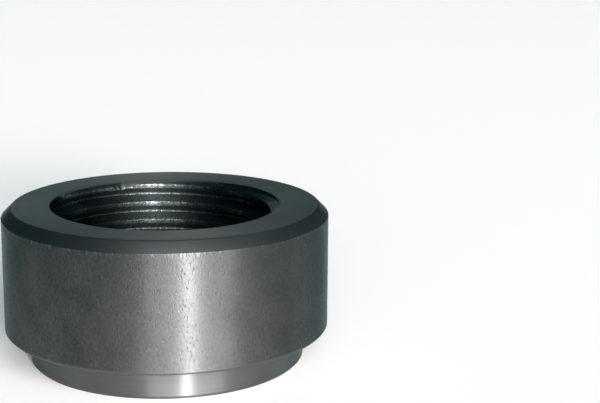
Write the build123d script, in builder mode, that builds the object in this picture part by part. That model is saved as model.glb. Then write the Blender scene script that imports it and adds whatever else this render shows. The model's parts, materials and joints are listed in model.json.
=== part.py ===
from build123d import *
import math
import os

# Oxygen sensor weld bung: a threaded steel ring, turned from bar in one piece.
# It is welded over a hole in an exhaust pipe, and the sensor screws into it.
# Sizes are in millimetres. The origin is the middle of the spigot's end, which the bung
# stands on, and +Z runs up the bore to the face that the sensor's gasket seats on.

# Sensor thread, M18 x 1.5, with its bore modelled plain at the minor diameter
thread_major_dia = 18.0
thread_pitch = 1.5

# Countersink that leads the sensor into the thread
countersink_margin = 0.05  # radial, past the thread's roots
countersink_angle = 150.0  # included, so flat that the first crest keeps its full width

# Relief at the spigot end, where the thread runs out into open space
relief_clearance = 0.5  # radial, past the thread's roots
relief_height = 4.55  # from the spigot's end to the top of the straight wall
relief_cone_angle = 120.0  # included, of the cone between the relief and the thread
relief_break = 0.4

# Spigot, which drops into the hole in the pipe and holds the ring central on it
spigot_wall = 1.25  # between the relief and the spigot's outside
spigot_height = 2.5
spigot_lead = 0.25
spigot_root_radius = 0.3

# Ring, whose shoulder sits on the pipe and whose wall takes the weld bead
shoulder_width = 1.95  # radial step from the spigot out to the ring's wall
ring_height = 9.8
shoulder_break = 0.2
seat_chamfer = 0.8

# Radii, worked out from the thread outwards
# The sharp 60 degree profile is cut off at five eighths of its height
sharp_thread_height = thread_pitch * math.sqrt(3) / 2
thread_minor_radius = thread_major_dia / 2 - sharp_thread_height * 5 / 8
countersink_radius = thread_major_dia / 2 + countersink_margin
relief_radius = thread_major_dia / 2 + relief_clearance
spigot_radius = relief_radius + spigot_wall
ring_radius = spigot_radius + shoulder_width

# Heights, worked out from the spigot's end upwards
seat_height = spigot_height + ring_height
relief_cone_height = (relief_radius - thread_minor_radius) / math.tan(math.radians(relief_cone_angle / 2))
thread_start = relief_height + relief_cone_height


def circles_at(height):
    """The bung's circular edges at one height, from the smallest to the largest."""
    circles = weld_bung.edges().filter_by(GeomType.CIRCLE)
    return circles.filter_by_position(Axis.Z, height, height).sort_by(SortBy.RADIUS)


with BuildPart() as weld_bung:
    # Blank: the half section of spigot and ring, spun about the bore's axis
    with BuildSketch(Plane.XZ):
        with BuildLine():
            Polyline(
                (0, 0),
                (spigot_radius, 0),
                (spigot_radius, spigot_height),
                (ring_radius, spigot_height),
                (ring_radius, seat_height),
                (0, seat_height),
                close=True,
            )
        make_face()
    revolve(axis=Axis.Z)

    # Outside edges, from the seat down to the spigot's end
    chamfer(circles_at(seat_height)[-1], seat_chamfer)
    chamfer(circles_at(spigot_height)[-1], shoulder_break)
    fillet(circles_at(spigot_height)[0], spigot_root_radius)
    chamfer(circles_at(0)[-1], spigot_lead)

    # Tapping bore, drilled right through and countersunk at the seat
    with Locations((0, 0, seat_height)):
        CounterSinkHole(
            radius=thread_minor_radius,
            counter_sink_radius=countersink_radius,
            counter_sink_angle=countersink_angle,
        )

    # Relief, bored from the spigot's end, with a cone that closes it down to the thread
    with BuildSketch(Plane.XZ):
        with BuildLine():
            Polyline(
                (0, 0),
                (relief_radius, 0),
                (relief_radius, relief_height),
                (thread_minor_radius, thread_start),
                (0, thread_start),
                close=True,
            )
        make_face()
    revolve(axis=Axis.Z, mode=Mode.SUBTRACT)
    chamfer(circles_at(0)[0], relief_break)

weld_bung.part.label = "weld_bung"

os.makedirs("parts", exist_ok=True)
export_step(weld_bung.part, "parts/weld_bung.step")

print("ring diameter", round(2 * ring_radius, 3), "overall height", round(seat_height, 3))
print("spigot diameter", round(2 * spigot_radius, 3), "relief diameter", round(2 * relief_radius, 3))
print("thread minor radius", round(thread_minor_radius, 4), "from z", round(thread_start, 3))
print("volume", round(weld_bung.part.volume, 1))
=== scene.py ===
# %% [markdown]
# # Oxygen sensor weld bung
# A weld bung is a small steel ring with a thread in its bore. It is dropped into a hole in an
# exhaust pipe by its spigot, welded round its wall, and then takes an oxygen sensor. The real
# one is a single piece, so this scene has a single piece too, and all the work goes into its
# section, its thread and the finishes that each tool left on the steel.
#
# The CAD model is loaded first, as a fixed frame. Every size below comes from that frame or
# repeats a named size of the CAD model, in millimetres.

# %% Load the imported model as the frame
import json
import math

import bmesh
import bpy
from mathutils import Euler, Matrix, Vector, noise


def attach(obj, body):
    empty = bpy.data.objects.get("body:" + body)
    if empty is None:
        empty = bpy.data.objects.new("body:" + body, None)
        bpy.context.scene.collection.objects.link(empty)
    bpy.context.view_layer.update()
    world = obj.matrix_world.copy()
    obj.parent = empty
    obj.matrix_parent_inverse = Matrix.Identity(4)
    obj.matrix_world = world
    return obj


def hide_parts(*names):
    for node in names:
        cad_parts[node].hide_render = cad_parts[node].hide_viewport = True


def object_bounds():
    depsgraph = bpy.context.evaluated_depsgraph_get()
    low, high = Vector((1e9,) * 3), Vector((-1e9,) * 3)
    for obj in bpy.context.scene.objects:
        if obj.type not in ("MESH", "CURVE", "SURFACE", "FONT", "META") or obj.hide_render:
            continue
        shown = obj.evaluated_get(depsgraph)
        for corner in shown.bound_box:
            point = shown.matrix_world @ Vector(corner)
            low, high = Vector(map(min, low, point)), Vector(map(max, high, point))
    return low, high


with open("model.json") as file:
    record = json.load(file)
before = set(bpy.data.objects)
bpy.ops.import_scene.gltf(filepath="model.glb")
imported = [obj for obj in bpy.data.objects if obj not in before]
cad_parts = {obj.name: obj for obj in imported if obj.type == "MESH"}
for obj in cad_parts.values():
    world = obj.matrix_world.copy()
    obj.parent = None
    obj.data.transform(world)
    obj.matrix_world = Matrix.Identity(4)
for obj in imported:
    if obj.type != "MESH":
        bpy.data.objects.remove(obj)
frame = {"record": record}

cad_low, cad_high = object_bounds()
print("CAD box in metres:", list(cad_low), list(cad_high))

# %% [markdown]
# ## Sizes
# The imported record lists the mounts, so the thread, the spigot, the seat and the shoulder are
# read from there. What no mount says, such as a chamfer, is written once here. The slope of a
# cone is how far it widens for each millimetre of height, from half of its included angle.

# %% Sizes of the section, in millimetres
MM = 0.001
mounts = {mount["name"]: mount for mount in frame["record"]["mounts"]}

ring_radius = cad_high.x / MM
seat_height = mounts["gasket_seat"]["pos_m"][2] / MM
shoulder_height = mounts["weld_shoulder"]["pos_m"][2] / MM
spigot_radius = mounts["pipe_spigot"]["dims"]["r_mm"]
crest_radius = mounts["sensor_thread"]["dims"]["r_mm"]

thread_pitch = 1.5
countersink_margin = 0.05
mouth_slope = math.tan(math.radians(150 / 2))
relief_clearance = 0.5
relief_height = 4.55
relief_slope = math.tan(math.radians(120 / 2))
relief_break = 0.4
seat_chamfer = 0.8
shoulder_break = 0.2
spigot_root = 0.3
spigot_lead = 0.25

root_radius = crest_radius + thread_pitch * math.sqrt(3) / 2 * 5 / 8
countersink_radius = root_radius + countersink_margin
relief_radius = root_radius + relief_clearance
thread_top = seat_height - (countersink_radius - crest_radius) / mouth_slope
thread_bottom = relief_height + (relief_radius - crest_radius) / relief_slope
print("thread from", round(thread_bottom, 2), "to", round(thread_top, 2), "mm")
print("thread crest radius", crest_radius, "and root radius", round(root_radius, 3), "mm")

# %% [markdown]
# ## The turned section
# A lathe part is its half section spun about the axis. A real edge is never perfectly sharp:
# a few hundredths of a millimetre are worn or filed off, and that sliver is what catches the
# light. So each corner of the section is replaced by a short arc. A Bevel modifier could do
# this, but rounding the section itself keeps the rows of the mesh tidy and costs nothing.
#
# The cut edges are nearly sharp. The rim, the shoulder and above all the mouth are rounder,
# because the mouth is where the sensor and its gasket rub.

# %% Rounded corners
EDGE_ROUND = 0.06
SEAT_EDGE_ROUND = 0.30
MOUTH_EDGE_ROUND = 2.2
SHOULDER_EDGE_ROUND = 0.20
ARC_STEPS = 4


def rounded(before, corner, after, radius, steps=ARC_STEPS):
    """Points of the arc that replaces a corner of a section. All points are (radius, height)."""
    before, corner, after = Vector(before), Vector(corner), Vector(after)
    towards_before = (before - corner).normalized()
    towards_after = (after - corner).normalized()
    half_angle = towards_before.angle(towards_after) / 2
    reach = radius / math.tan(half_angle)
    centre = corner + (towards_before + towards_after).normalized() * (radius / math.sin(half_angle))
    start = corner + towards_before * reach - centre
    turn = start.angle_signed(corner + towards_after * reach - centre)
    return [centre + Matrix.Rotation(-turn * step / steps, 2) @ start for step in range(steps + 1)]


# %% Outer section, from the countersink's rim out, down and back up inside the relief
FACED, CHAMFERED, DRAWN, TURNED, TAPPED = range(5)

section_corners = [
    ((countersink_radius, seat_height), MOUTH_EDGE_ROUND, FACED),
    ((ring_radius - seat_chamfer, seat_height), SEAT_EDGE_ROUND, CHAMFERED),
    ((ring_radius, seat_height - seat_chamfer), EDGE_ROUND, DRAWN),
    ((ring_radius, shoulder_height + shoulder_break), SHOULDER_EDGE_ROUND, TURNED),
    ((ring_radius - shoulder_break, shoulder_height), SHOULDER_EDGE_ROUND, TURNED),
    ((spigot_radius, shoulder_height), spigot_root, TURNED),
    ((spigot_radius, spigot_lead), EDGE_ROUND, TURNED),
    ((spigot_radius - spigot_lead, 0), EDGE_ROUND, FACED),
    ((relief_radius + relief_break, 0), EDGE_ROUND, TURNED),
    ((relief_radius, relief_break), EDGE_ROUND, TURNED),
    ((relief_radius, relief_height), EDGE_ROUND, TURNED),
]

path = [(crest_radius, thread_top)]
path += [corner for corner, _, _ in section_corners]
path += [(crest_radius, thread_bottom)]

outer_section = []
for index, (corner, radius, finish) in enumerate(section_corners):
    outer_section += [(point, finish) for point in rounded(path[index], corner, path[index + 2], radius)]
print("outer section points:", len(outer_section))

# %% [markdown]
# ## The thread
# An M18 x 1.5 thread is a 60 degree groove that climbs one pitch for each turn. Two common
# ways to model it are a Screw modifier, whose open ends then need patching, and a Boolean,
# which leaves ragged faces. Here the bore's wall is one grid instead. Each column is a
# vertical cut through the wall, and its points are the corners of the thread at that angle,
# which sit a little higher in each column than in the last. The rows then run along the
# crests and roots, so the edges stay crisp.
#
# At both ends a cone cuts the thread away, and the rows are held at the height where the
# cone crosses the thread. This leaves the thin curved start that a real tapped hole has.

# %% One turn of the thread
CREST_ROUND = 0.04
ROOT_ROUND = 0.06
THREAD_ARC_STEPS = 2
THREAD_PHASE = 0.51

crest_flat = thread_pitch / 4
flank_height = thread_pitch * 5 / 16
root_flat = thread_pitch / 8
turn_corners = [
    ((crest_radius, 0), CREST_ROUND),
    ((crest_radius, crest_flat), CREST_ROUND),
    ((root_radius, crest_flat + flank_height), ROOT_ROUND),
    ((root_radius, crest_flat + flank_height + root_flat), ROOT_ROUND),
]
turn_path = [(root_radius, -flank_height)]
turn_path += [corner for corner, _ in turn_corners]
turn_path += [(crest_radius, thread_pitch)]

turn_points = []
for index, (corner, radius) in enumerate(turn_corners):
    turn_points += rounded(turn_path[index], corner, turn_path[index + 2], radius, THREAD_ARC_STEPS)

three_turns = []
for turn in (-1, 0, 1):
    three_turns += [Vector((point.x, point.y + turn * thread_pitch)) for point in turn_points]
print("points in one turn of the thread:", len(turn_points))


# %% Where the thread meets a cone
HALVINGS = 40


def thread_radius(height, angle):
    """Radius of the endless thread at one height and angle, from the points of one turn."""
    climbed = height - (angle / math.tau + THREAD_PHASE) * thread_pitch
    place = climbed % thread_pitch
    for low, high in zip(three_turns, three_turns[1:]):
        if low.y <= place <= high.y:
            share = (place - low.y) / (high.y - low.y)
            return low.x + (high.x - low.x) * share


def bottom_cone_radius(height, angle):
    """Radius of the cone below the thread. It is round, so the angle changes nothing."""
    return crest_radius + (thread_bottom - height) * relief_slope


def crossing(angle, cone_radius, outside, inside):
    """Height where a cone that is wider than the thread outside meets the thread, by bisection."""
    for _ in range(HALVINGS):
        middle = (outside + inside) / 2
        if cone_radius(middle, angle) > thread_radius(middle, angle):
            outside = middle
        else:
            inside = middle
    return (outside + inside) / 2


# %% [markdown]
# Where the first crest runs out into the countersink it would end as a lip as thin as foil.
# On the real part that lip is broken away over about half a turn, so the first groove opens
# straight onto the seat there. The mouth's radius is therefore held out at the roots between
# four angles, with a ramp at both ends. Cutting the lip off with a Boolean would leave ragged
# faces, and moving the points of the columns keeps the mesh closed.

# %% The mouth, with its thin lip broken away
LIP_BREAK = [math.radians(degrees) for degrees in (115, 170, 300, 335)]
LIP_LEFT = 0.02
NUDGE = thread_pitch / 100


def ramp(start, end, value):
    """Smooth step from 0 at start to 1 at end."""
    share = min(1.0, max(0.0, (value - start) / (end - start)))
    return share * share * (3 - 2 * share)


def lip_radius(angle):
    """Smallest radius of the mouth: the crests where the lip is whole, near the roots where not."""
    broken = ramp(LIP_BREAK[0], LIP_BREAK[1], angle) - ramp(LIP_BREAK[2], LIP_BREAK[3], angle)
    return crest_radius + broken * (root_radius - LIP_LEFT - crest_radius)


def mouth_radius(height, angle):
    """Radius of the mouth: the countersink, or the broken lip where that stands wider."""
    return max(crest_radius + (height - thread_top) * mouth_slope, lip_radius(angle))


def groove_below_lip(angle):
    """Height of the middle of the highest groove that is fully below the countersink at one angle."""
    middle = crest_flat + flank_height + root_flat / 2 + (angle / math.tau + THREAD_PHASE) * thread_pitch
    return middle + math.floor((thread_top - middle) / thread_pitch) * thread_pitch


print("lip broken away in degrees:", [round(math.degrees(angle)) for angle in LIP_BREAK])


# %% [markdown]
# The crests of a tapped thread are torn a little, because the tap's teeth push some of the
# metal up. A small smooth noise on the crest corners gives those burrs in the mesh itself.

# %% Columns of the bore's wall
COLUMNS = 360
BURR = 0.022
BURR_SIZE = 0.35
BURR_BIAS = 0.15
CREST_POINTS = len(turn_points) // 2


def burr_at(radius, height, angle):
    """How far the torn crest stands in towards the axis at one place, in millimetres."""
    place = Vector((radius * math.cos(angle), radius * math.sin(angle), height)) / BURR_SIZE
    return BURR * max(0.0, noise.noise(place) + BURR_BIAS)


turns = range(-2, math.ceil((seat_height - relief_height) / thread_pitch) + 2)
first_turn = math.floor(relief_height / thread_pitch - THREAD_PHASE)
print("columns:", COLUMNS, "turns of thread in each before the cones cut it:", len(turns))


def bore_column(angle, low, high):
    """(radius, height) of each thread corner at one angle, held between the two cones."""
    column = []
    start_angle = angle % math.tau
    for turn in turns:
        for index, point in enumerate(turn_points):
            height = point.y + (first_turn + turn + THREAD_PHASE + angle / math.tau) * thread_pitch
            if height <= low:
                column.append((bottom_cone_radius(low, start_angle), low))
            elif height >= high:
                column.append((mouth_radius(high, start_angle), high))
            else:
                burr = burr_at(point.x, height, angle) if index < CREST_POINTS else 0.0
                column.append((point.x - burr, height))
    return column


# %% [markdown]
# ## One closed mesh
# Each column runs once round the section: down the outside, up through the relief, up the
# thread and back to the countersink's rim. Neighbouring columns are joined by faces. The last
# column lies on the first, and the held rows lie on each other, so doubled points are merged
# at the end and every edge is then shared by exactly two faces, as in a real solid. The count
# of open edges is printed, and has to be 0.

# %% Build the bung
MERGE = 1e-7


def bung_columns():
    """All columns of points in metres, and for each the finish of the faces that follow its points."""
    columns = []
    finishes = []
    for step in range(COLUMNS + 1):
        angle = math.tau * step / COLUMNS
        start_angle = angle % math.tau
        low = crossing(start_angle, bottom_cone_radius, relief_height, thread_bottom + NUDGE)
        whole = lip_radius(start_angle) == crest_radius
        inside = thread_top - NUDGE if whole else groove_below_lip(start_angle)
        high = crossing(start_angle, mouth_radius, seat_height, inside)
        bore = bore_column(angle, low, high)
        bore_start = (bottom_cone_radius(low, start_angle), low)
        bore_end = (mouth_radius(high, start_angle), high)
        section = [(max(point.x, lip_radius(start_angle)), point.y) for point, _ in outer_section]
        section += [bore_start, *bore, bore_end]
        columns.append([Vector((r * math.cos(angle), r * math.sin(angle), z)) * MM for r, z in section])
        next_whole = lip_radius(start_angle + math.tau / COLUMNS) == crest_radius
        mouth_finish = FACED if whole and next_whole else TAPPED
        bore_finishes = [TAPPED] * (len(bore) + 1) + [mouth_finish]
        finishes.append([finish for _, finish in outer_section] + bore_finishes)
    return columns, finishes


def make_bung(name):
    """The whole bung as one mesh object with a material index for each finish."""
    columns, finishes = bung_columns()
    rows = len(columns[0])
    shape = bmesh.new()
    verts = [[shape.verts.new(point) for point in column] for column in columns]
    for left, right, column_finishes in zip(verts, verts[1:], finishes):
        for row in range(rows):
            above = (row + 1) % rows
            face = shape.faces.new((left[row], left[above], right[above], right[row]))
            face.material_index = column_finishes[row]
            face.smooth = True
    bmesh.ops.remove_doubles(shape, verts=shape.verts, dist=MERGE)
    bmesh.ops.recalc_face_normals(shape, faces=shape.faces)
    open_edges = sum(1 for edge in shape.edges if len(edge.link_faces) != 2)
    volume = shape.calc_volume() / MM**3
    mesh = bpy.data.meshes.new(name)
    shape.to_mesh(mesh)
    shape.free()
    print(name, "faces", len(mesh.polygons), "open edges", open_edges, "volume", round(volume, 1), "mm3")
    piece = bpy.data.objects.new(name, mesh)
    bpy.context.scene.collection.objects.link(piece)
    return piece


bung = make_bung("threaded_bung")
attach(bung, "root")
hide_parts("weld_bung")

# %% [markdown]
# Smooth shading would round off the flats next to each small arc. The Weighted Normal
# modifier lets the big faces keep their own normals, so only the arcs bend the light.

# %% Weighted normals
FLAT_FACES_FIRST = 100

weighted = bung.modifiers.new("weighted_normals", "WEIGHTED_NORMAL")
weighted.weight = FLAT_FACES_FIRST
weighted.keep_sharp = True
print("modifiers on the bung:", [modifier.name for modifier in bung.modifiers])

# %% [markdown]
# ## Colour and node helpers
# Colours are written as sRGB hex values, as a colour picker shows them. Blender's sockets
# take linear values, and one function turns one into the other. One more function adds a
# node with its settings and its links, which keeps each material short.

# %% Helpers
def srgb(hex_colour):
    """Linear RGBA of an sRGB hex colour."""
    channels = [int(hex_colour[place:place + 2], 16) / 255 for place in (1, 3, 5)]
    linear = [c / 12.92 if c <= 0.04045 else ((c + 0.055) / 1.055) ** 2.4 for c in channels]
    return (*linear, 1.0)


def add_node(tree, kind, settings=None, inputs=None):
    """Adds a node, sets its properties, and sets or links its inputs by name or number."""
    node = tree.nodes.new(kind)
    for name, value in (settings or {}).items():
        setattr(node, name, value)
    for socket, value in (inputs or {}).items():
        if isinstance(value, bpy.types.NodeSocket):
            tree.links.new(value, node.inputs[socket])
        else:
            node.inputs[socket].default_value = value
    return node


# %% [markdown]
# ## Steel
# The bung is bare mild steel. Its colour is a dull, slightly cool grey, and it is metallic,
# so nearly all that the eye sees is a blurred reflection of the room. What differs between
# its surfaces is the pattern that each tool left, and that pattern decides the way the
# reflection is blurred. An image could carry such patterns, but it would have to be wrapped
# round the ring and would show a seam. Noise that is read in the bung's own millimetres has
# no seam, and its scale can be written as a real size.
#
# All five finishes share one shader. Tool marks stretch a reflection across themselves, which
# the anisotropy gives, and the tangent runs round the bore's axis as the bar and the lathe do.
# The tint at grazing angles is a little duller than pure metal, because the skin is oxidised.
#
# The colours are written darker than bare steel really is. They were matched to the picture
# together with the lamps, which light the wall about three times as strongly as a plain level
# would. Under plain light they would have to be about three times as bright.

# %% Bare steel shader
EDGE_TINT = "#b6c1c2"
QUARTER_TURN = 0.25


def bare_steel(name, anisotropy):
    """A new steel material: its node tree, the shaded point in millimetres, and its shader."""
    material = bpy.data.materials.new(name)
    material.use_nodes = True
    tree = material.node_tree
    tree.nodes.clear()
    coordinates = add_node(tree, "ShaderNodeTexCoord")
    place = add_node(tree, "ShaderNodeVectorMath", {"operation": "SCALE"}, {
        0: coordinates.outputs["Object"],
        "Scale": 1 / MM,
    })
    tangent = add_node(tree, "ShaderNodeTangent", {"direction_type": "RADIAL", "axis": "Z"})
    shader = add_node(tree, "ShaderNodeBsdfPrincipled", inputs={
        "Metallic": 1.0,
        "Specular Tint": srgb(EDGE_TINT),
        "Anisotropic": anisotropy,
        "Anisotropic Rotation": QUARTER_TURN,
        "Tangent": tangent.outputs["Tangent"],
    })
    add_node(tree, "ShaderNodeOutputMaterial", inputs={"Surface": shader.outputs["BSDF"]})
    print("steel material:", name, "anisotropy", anisotropy)
    return tree, place.outputs[0], shader


# %% Colour, gloss and relief from one pattern
def finish_steel(tree, shader, tone, skin, colours, roughness, relief):
    """Tone, from 0 to 1, drives the colour. Skin, from 0 to 1, drives roughness and relief in mm."""
    shade = add_node(tree, "ShaderNodeMixRGB", inputs={
        "Fac": tone,
        "Color1": srgb(colours[0]),
        "Color2": srgb(colours[1]),
    })
    gloss = add_node(tree, "ShaderNodeMapRange", inputs={
        "Value": skin,
        "To Min": roughness[0],
        "To Max": roughness[1],
    })
    bump = add_node(tree, "ShaderNodeBump", inputs={"Height": skin, "Distance": relief * MM})
    tree.links.new(shade.outputs["Color"], shader.inputs["Base Color"])
    tree.links.new(gloss.outputs["Result"], shader.inputs["Roughness"])
    tree.links.new(bump.outputs["Normal"], shader.inputs["Normal"])


def stretched_noise(tree, place, size, stretch, detail):
    """Noise with spots of one size in millimetres, drawn out along the bore's axis."""
    scaled = add_node(tree, "ShaderNodeVectorMath", {"operation": "MULTIPLY"}, {
        0: place,
        1: (1, 1, 1 / stretch),
    })
    spots = add_node(tree, "ShaderNodeTexNoise", inputs={
        "Vector": scaled.outputs[0],
        "Scale": 1 / size,
        "Detail": detail,
    })
    return spots.outputs["Fac"]


# %% [markdown]
# ### Cold-drawn bar
# The wall was never touched by the lathe: it is the skin of the bar. Bar is pulled cold through
# a die, which leaves fine lines along its length, shallow pits, and patches where the old
# scale was thicker. To the eye that is a dark satin with a tall, narrow highlight, broken up
# by small dark marks. The colour also carries a painted reflection of the white floor: it is
# painted darker towards the top of the wall and lighter towards the bottom.
#
# Where the rim's chamfer cuts through this skin, burrs catch the light. Their glints are
# painted into the colour as short light dashes just under the rim, all the way round.

# %% Drawn bar: sizes in millimetres
# Real drawing lines and pits are a few hundredths of a millimetre wide, which is less than a
# pixel here. They are drawn about four times as coarse, so that they show at all.
DRAWN_LINE = 0.16
DRAWN_STRETCH = 1.6
DRAWN_PATCH_SHARE = 0.4
PATCH = 2.5
PIT = 0.13
PIT_STRETCH = 2.0
PIT_THRESHOLD = (0.66, 0.78)
# Painted reflection of the floor: the wall's tone is scaled from the first value at the top to the
# second at the bottom.
PAINTED_FLOOR_REFLECTION = (0.7, 1.2)
# Painted glints: size, stretch, height under the rim and threshold of the light dashes.
PAINTED_GLINT_SIZE = 0.14
PAINTED_GLINT_STRETCH = 6
PAINTED_GLINT_HEIGHT = 0.35
PAINTED_GLINT_THRESHOLD = (0.60, 0.80)


# %% Drawn bar: the material
def drawn_steel():
    """Skin of cold-drawn bar: fine lines along the bar, small dark pits and soft patches, with a painted
    floor reflection and painted glints under the rim.
    """
    tree, place, shader = bare_steel("cold_drawn_bar_steel", 0.89)
    patches = add_node(tree, "ShaderNodeTexNoise", inputs={
        "Vector": place,
        "Scale": 1 / PATCH,
        "Detail": 3.0,
    })
    skin = add_node(tree, "ShaderNodeMixRGB", inputs={
        "Fac": DRAWN_PATCH_SHARE,
        "Color1": stretched_noise(tree, place, DRAWN_LINE, DRAWN_STRETCH, 2.0),
        "Color2": patches.outputs["Fac"],
    })
    unpitted = add_node(tree, "ShaderNodeMapRange", inputs={
        "Value": stretched_noise(tree, place, PIT, PIT_STRETCH, 0.0),
        "From Min": PIT_THRESHOLD[1],
        "From Max": PIT_THRESHOLD[0],
    })
    pitted = add_node(tree, "ShaderNodeMath", {"operation": "MULTIPLY"}, {
        0: skin.outputs["Color"],
        1: unpitted.outputs["Result"],
    })
    parts = add_node(tree, "ShaderNodeSeparateXYZ", inputs={0: place})
    # Painted reflection of the floor: the tone is painted darker towards the top of the wall and lighter
    # towards the bottom.
    painted_floor_reflection = add_node(tree, "ShaderNodeMapRange", inputs={
        "Value": parts.outputs["Z"],
        "From Min": seat_height,
        "From Max": shoulder_height,
        "To Min": PAINTED_FLOOR_REFLECTION[0],
        "To Max": PAINTED_FLOOR_REFLECTION[1],
    })
    tone = add_node(tree, "ShaderNodeMath", {"operation": "MULTIPLY"}, {
        0: skin.outputs["Color"],
        1: painted_floor_reflection.outputs["Result"],
    })
    # Painted glints: short light dashes added to the colour just under the rim, where burrs catch the
    # light.
    sharp = add_node(tree, "ShaderNodeMapRange", inputs={
        "Value": stretched_noise(tree, place, PAINTED_GLINT_SIZE, PAINTED_GLINT_STRETCH, 0.0),
        "From Min": PAINTED_GLINT_THRESHOLD[0],
        "From Max": PAINTED_GLINT_THRESHOLD[1],
    })
    near_edge = add_node(tree, "ShaderNodeMapRange", inputs={
        "Value": parts.outputs["Z"],
        "From Min": seat_height - seat_chamfer - PAINTED_GLINT_HEIGHT,
        "From Max": seat_height - seat_chamfer,
    })
    painted_glints = add_node(tree, "ShaderNodeMath", {"operation": "MULTIPLY"}, {
        0: sharp.outputs["Result"],
        1: near_edge.outputs["Result"],
    })
    tone_and_painted_glints = add_node(tree, "ShaderNodeMath", {"operation": "ADD"}, {
        0: tone.outputs[0],
        1: painted_glints.outputs[0],
    })
    colours = ("#333a3a", "#666767")
    finish_steel(tree, shader, tone_and_painted_glints.outputs[0], pitted.outputs[0], colours, (0.56, 0.18), 0.0065)


# %% [markdown]
# ### Turned, faced and chamfered
# Everything else on the outside was cut by a lathe tool, which leaves a ring for each turn of
# its feed. On a face the rings lie at growing radius, and on a cylinder they lie above each
# other, so one noise that is read by radius and height fits both. A little wobble keeps the
# rings from looking drawn with a compass.

# %% Turned steel
# A finishing cut feeds about 0.1 mm a turn. The rings are drawn twice as coarse, so that they
# show.
FEED_MARK = 0.22
FEED_WOBBLE = 3.0


def lathe_steel(name, anisotropy, mark_share, colours, roughness, relief):
    """Steel cut on a lathe: rings left by the tool's feed, over soft patches."""
    tree, place, shader = bare_steel(name, anisotropy)
    parts = add_node(tree, "ShaderNodeSeparateXYZ", inputs={0: place})
    flat = add_node(tree, "ShaderNodeVectorMath", {"operation": "MULTIPLY"}, {0: place, 1: (1, 1, 0)})
    radius = add_node(tree, "ShaderNodeVectorMath", {"operation": "LENGTH"}, {0: flat.outputs[0]})
    patches = add_node(tree, "ShaderNodeTexNoise", inputs={
        "Vector": place,
        "Scale": 1 / PATCH,
        "Detail": 4.0,
    })
    wobble = add_node(tree, "ShaderNodeMath", {"operation": "MULTIPLY"}, {
        0: patches.outputs["Fac"],
        1: FEED_MARK * FEED_WOBBLE,
    })
    around = add_node(tree, "ShaderNodeCombineXYZ", inputs={
        "X": radius.outputs["Value"],
        "Y": wobble.outputs[0],
        "Z": parts.outputs["Z"],
    })
    marks = add_node(tree, "ShaderNodeTexNoise", inputs={
        "Vector": around.outputs[0],
        "Scale": 1 / FEED_MARK,
        "Detail": 1.0,
    })
    surface = add_node(tree, "ShaderNodeMixRGB", inputs={
        "Fac": mark_share,
        "Color1": patches.outputs["Fac"],
        "Color2": marks.outputs["Fac"],
    })
    pattern = surface.outputs["Color"]
    finish_steel(tree, shader, pattern, pattern, colours, roughness, relief)


# %% [markdown]
# ### Tapped thread
# A tap shears the metal off in small torn flakes, and mild steel is soft, so it smears. Each
# flake has its own tilt. To the eye the crests are rows of small glints, and the grooves
# between them are nearly black.

# %% Tapped steel
# Torn flakes are about 0.1 mm wide. They are drawn at nearly twice that, so that single glints show.
TORN_GRAIN = 0.18
TORN_THRESHOLD = (0.35, 0.75)


def tapped_steel():
    """Flanks of the thread: small torn flakes that glint one by one."""
    tree, place, shader = bare_steel("tapped_mild_steel", 0.85)
    grain = add_node(tree, "ShaderNodeTexNoise", inputs={
        "Vector": place,
        "Scale": 1 / TORN_GRAIN,
        "Detail": 2.0,
    })
    flakes = add_node(tree, "ShaderNodeMapRange", inputs={
        "Value": grain.outputs["Fac"],
        "From Min": TORN_THRESHOLD[0],
        "From Max": TORN_THRESHOLD[1],
    })
    pattern = flakes.outputs["Result"]
    finish_steel(tree, shader, pattern, pattern, ("#2f3a3b", "#656b6b"), (0.43, 0.20), 0.007)


# %% [markdown]
# ### All five finishes
# The materials go onto the bung in the order of the numbers that its faces carry.
#
# - Faced: the seat and the spigot's end, cut across the bar. A flat, even, matt grey.
# - Chamfered: the rim's slope, cut by the tool's corner. A soft sheen with hardly any rings.
# - Drawn: the wall. Dark satin with a tall, narrow highlight.
# - Turned: spigot, shoulder and relief, cut with a fine feed. The brightest and most even skin.
# - Tapped: the thread and its broken lip. Nearly black, with rows of glints.

# %% Put the finishes on the bung
lathe_steel("faced_mild_steel", 0.6, 0.3, ("#575757", "#6a6a6a"), (0.50, 0.40), 0.001)
lathe_steel("chamfered_mild_steel", 0.2, 0.3, ("#575858", "#727373"), (0.42, 0.34), 0.002)
drawn_steel()
lathe_steel("turned_mild_steel", 0.98, 0.4, ("#5b5d5d", "#737777"), (0.35, 0.30), 0.0005)
tapped_steel()

finish_names = (
    "faced_mild_steel",
    "chamfered_mild_steel",
    "cold_drawn_bar_steel",
    "turned_mild_steel",
    "tapped_mild_steel",
)
for finish_name in finish_names:
    bung.data.materials.append(bpy.data.materials[finish_name])
print("finishes on the bung:", len(bung.data.materials))

# %% [markdown]
# ## Camera
# The camera stands about 11 cm away and a little above the bung, and looks slightly to its
# right, so the bung fills the left half of the picture. Its place, turn and focal length
# were fitted to the outlines of the ring. Writing them down gives the same picture each time,
# which aiming the camera at an empty object would not.

# %% Camera
CAMERA_PLACE = (0.0, -0.11005, 0.03744)
CAMERA_TURN_RIGHT = 0.0952
CAMERA_TILT_DOWN = 0.2242
CAMERA_ROLL = 0.0079
CAMERA_LENS = 86.33

camera_data = bpy.data.cameras.new("camera")
camera_data.lens = CAMERA_LENS
camera_data.clip_start = 0.005
camera_data.clip_end = 10
camera = bpy.data.objects.new("camera", camera_data)
aim = Euler((math.pi / 2 - CAMERA_TILT_DOWN, 0, -CAMERA_TURN_RIGHT)).to_matrix()
roll = Matrix.Rotation(CAMERA_ROLL, 3, "Z")
camera.matrix_world = Matrix.Translation(CAMERA_PLACE) @ (aim @ roll).to_4x4()
bpy.context.scene.collection.objects.link(camera)
bpy.context.scene.camera = camera
print("camera lens", CAMERA_LENS, "mm at", CAMERA_PLACE)

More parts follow.
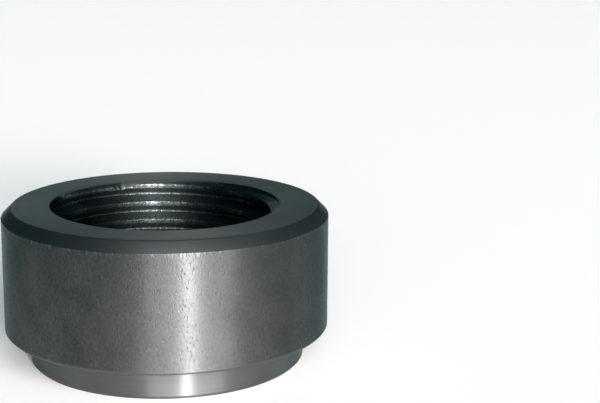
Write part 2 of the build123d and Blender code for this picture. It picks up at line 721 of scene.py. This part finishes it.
# %% [markdown]
# ## Floor
# The bung stands on white card. A plain disc is enough, because the picture never shows its
# edge. The lamps light it about a fifth more strongly than a plain level would, so its colour
# is written a little under white. It also throws light back onto the underside of the ring,
# and it takes the bung's soft shadow.

# %% Floor
FLOOR_RADIUS = 1.0
FLOOR_SEGMENTS = 96
CARD_WHITE = "#f7f8f9"
CARD_ROUGHNESS = 0.9

floor_mesh = bpy.data.meshes.new("floor")
floor_shape = bmesh.new()
bmesh.ops.create_circle(floor_shape, cap_ends=True, radius=FLOOR_RADIUS, segments=FLOOR_SEGMENTS)
floor_shape.to_mesh(floor_mesh)
floor_shape.free()
floor = bpy.data.objects.new("floor", floor_mesh)
bpy.context.scene.collection.objects.link(floor)

floor_material = bpy.data.materials.new("matt_white_card")
floor_material.use_nodes = True
card = floor_material.node_tree.nodes["Principled BSDF"]
card.inputs["Base Color"].default_value = srgb(CARD_WHITE)
card.inputs["Roughness"].default_value = CARD_ROUGHNESS
floor_mesh.materials.append(floor_material)
print("floor radius", FLOOR_RADIUS, "m, colour", CARD_WHITE)

# %% [markdown]
# ## Room
# Bare metal shows the room around it more than its own colour. The room here is a dim
# blue-green, which cools the steel's darker side, with a broad warm glow near the horizon on
# the camera's side. The glow is wide and low, as a row of windows is, so the direction is
# stretched upwards before its nearness to the glow's middle is measured.

# %% Room
ROOM_SHADE = "#194f55"
ROOM_STRENGTH = 0.9
GLOW_COLOUR = "#fff9f5"
GLOW_AZIMUTH = 18
GLOW_BRIGHTNESS = 8.2
GLOW_FLATNESS = 2.3
GLOW_NARROWNESS = 3.0


def direction_of(azimuth, elevation):
    """Unit vector towards a lamp. Azimuth 0 is the camera's side and grows to the right, in degrees."""
    around, up = math.radians(azimuth), math.radians(elevation)
    return Vector((math.sin(around) * math.cos(up), -math.cos(around) * math.cos(up), math.sin(up)))


world = bpy.data.worlds.new("room")
bpy.context.scene.world = world
world.use_nodes = True
room = world.node_tree
room.nodes.clear()
direction = add_node(room, "ShaderNodeTexCoord")
stretched = add_node(room, "ShaderNodeVectorMath", {"operation": "MULTIPLY"}, {
    0: direction.outputs["Generated"],
    1: (1, 1, GLOW_FLATNESS),
})
unit = add_node(room, "ShaderNodeVectorMath", {"operation": "NORMALIZE"}, {0: stretched.outputs[0]})
nearness = add_node(room, "ShaderNodeVectorMath", {"operation": "DOT_PRODUCT"}, {
    0: unit.outputs[0],
    1: direction_of(GLOW_AZIMUTH, 0),
})
facing = add_node(room, "ShaderNodeMath", {"operation": "MAXIMUM"}, {
    0: nearness.outputs["Value"],
    1: 0.0,
})
falloff = add_node(room, "ShaderNodeMath", {"operation": "POWER"}, {
    0: facing.outputs[0],
    1: GLOW_NARROWNESS,
})
strength = add_node(room, "ShaderNodeMath", {"operation": "MULTIPLY"}, {
    0: falloff.outputs[0],
    1: GLOW_BRIGHTNESS,
})
glow = add_node(room, "ShaderNodeBackground", inputs={
    "Color": srgb(GLOW_COLOUR),
    "Strength": strength.outputs[0],
})
shade = add_node(room, "ShaderNodeBackground", inputs={
    "Color": srgb(ROOM_SHADE),
    "Strength": ROOM_STRENGTH,
})
total = add_node(room, "ShaderNodeAddShader", inputs={0: glow.outputs[0], 1: shade.outputs[0]})
add_node(room, "ShaderNodeOutputWorld", inputs={"Surface": total.outputs[0]})
print("room glow of strength", GLOW_BRIGHTNESS, "at azimuth", GLOW_AZIMUTH)

# %% [markdown]
# ## Lamps
# One small lamp near the camera's side draws the narrow highlight down the wall and the
# spigot. A wide softbox round it gives the highlight its broad shoulders. Four weak ones light
# the seat, the bore and the right edge. Each is written by how large it looks from the bung,
# in degrees, and all stand 6 m away, because near lamps would light the floor in patches.

# %% Lamps
LAMP_DISTANCE = 6.0


def add_lamp(name, azimuth, elevation, half_width, brightness, colour="#ffffff"):
    """A round soft lamp that looks half_width degrees wide each way from the bung."""
    radius = LAMP_DISTANCE * math.tan(math.radians(half_width))
    data = bpy.data.lights.new(name, "AREA")
    data.shape = "DISK"
    data.size = 2 * radius
    data.energy = brightness * math.pi * math.pi * radius**2
    data.color = srgb(colour)[:3]
    lamp = bpy.data.objects.new(name, data)
    away = direction_of(azimuth, elevation)
    lamp.location = away * LAMP_DISTANCE
    lamp.rotation_euler = away.to_track_quat("Z", "Y").to_euler()
    bpy.context.scene.collection.objects.link(lamp)
    print(name, "half width", half_width, "degrees, brightness", brightness)
    return lamp


add_lamp("key_lamp", 14.6, 10, 3.2, 335, "#fff8f4")
add_lamp("key_softbox", 14.5, 9, 31, 8.6, "#fff8f4")
add_lamp("rear_softbox", 186, 20, 17, 0.72, "#f2fbfb")
add_lamp("back_softbox", 165, 52, 20, 0.35, "#f2fbfb")
add_lamp("side_softbox", 112, 2, 18, 1.3)
add_lamp("top_softbox", 0, 70, 16, 0.65, "#f0fbfb")

# %% [markdown]
# ## Colour management
# The Standard view shows a colour as it is written.

# %% Colour management
bpy.context.scene.view_settings.view_transform = "Standard"
